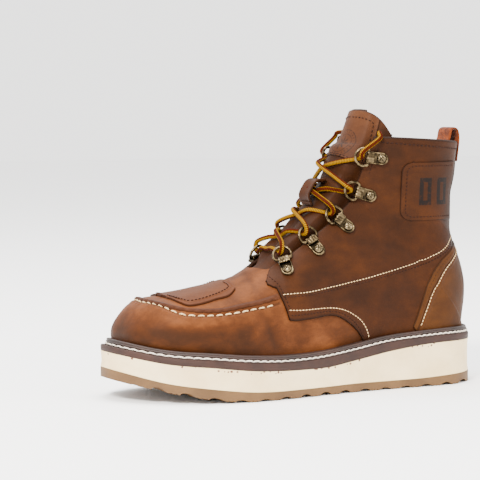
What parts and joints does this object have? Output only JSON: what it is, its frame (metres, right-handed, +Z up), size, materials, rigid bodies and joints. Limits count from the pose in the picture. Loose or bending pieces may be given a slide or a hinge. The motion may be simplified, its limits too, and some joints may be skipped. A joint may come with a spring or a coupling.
{
  "type": "wedge sole work boot",
  "caption": "Left ankle-high leather work boot with a moc-stitched toe, ring-laced front, pull loop and a thick flat wedge sole.",
  "frame": {"origin": "centre of the boot's footprint, on the floor", "axes": "+X from the heel to the toe, +Y to the wearer's left (the outer side of this left boot), +Z up"},
  "size_m": [0.305, 0.1112, 0.2129],
  "materials": {
    "brown_leather": "oiled, softly scuffed",
    "tan_leather": "oiled, worn lighter",
    "orange_suede": "napped suede",
    "cream_rubber": "matt foam rubber",
    "gum_rubber": "matt",
    "brown_rubber": "matt",
    "dark_welt": "satin",
    "grey_lining": "woven",
    "aged_nickel": "aged, satin",
    "yellow_cord": "braided"
  },
  "bodies": {
    "root": {"outsole": "gum_rubber", "wedge_midsole": "cream_rubber", "midsole_strip": "brown_rubber", "welt": "dark_welt", "insole": "grey_lining", "upper": "brown_leather", "quarter_lateral": "brown_leather", "quarter_medial": "brown_leather", "counter": "tan_leather", "backstay": "brown_leather", "vamp_patch": "tan_leather", "moc_seam": "brown_leather", "side_patch_lateral": "brown_leather", "side_patch_medial": "brown_leather", "pull_loop": "orange_suede", "tongue": "brown_leather", "tongue_cap": "tan_leather", "lace_keeper": "brown_leather", "lace": "yellow_cord", "lace_end_lateral": "yellow_cord", "lace_end_medial": "yellow_cord", "plate_top_lateral": "aged_nickel", "plate_top_medial": "aged_nickel", "plate_upper_lateral": "aged_nickel", "plate_upper_medial": "aged_nickel", "plate_middle_lateral": "aged_nickel", "plate_middle_medial": "aged_nickel", "plate_lower_lateral": "aged_nickel", "plate_lower_medial": "aged_nickel", "plate_bottom_lateral": "aged_nickel", "plate_bottom_medial": "aged_nickel", "rivet_top_lateral": "aged_nickel", "rivet_top_medial": "aged_nickel", "rivet_upper_lateral": "aged_nickel", "rivet_upper_medial": "aged_nickel", "rivet_middle_lateral": "aged_nickel", "rivet_middle_medial": "aged_nickel", "rivet_lower_lateral": "aged_nickel", "rivet_lower_medial": "aged_nickel", "rivet_bottom_lateral": "aged_nickel", "rivet_bottom_medial": "aged_nickel", "ring_top_lateral": "aged_nickel", "ring_top_medial": "aged_nickel", "ring_upper_lateral": "aged_nickel", "ring_upper_medial": "aged_nickel", "ring_middle_lateral": "aged_nickel", "ring_middle_medial": "aged_nickel", "ring_lower_lateral": "aged_nickel", "ring_lower_medial": "aged_nickel", "ring_bottom_lateral": "aged_nickel", "ring_bottom_medial": "aged_nickel"}
  },
  "joints": []
}
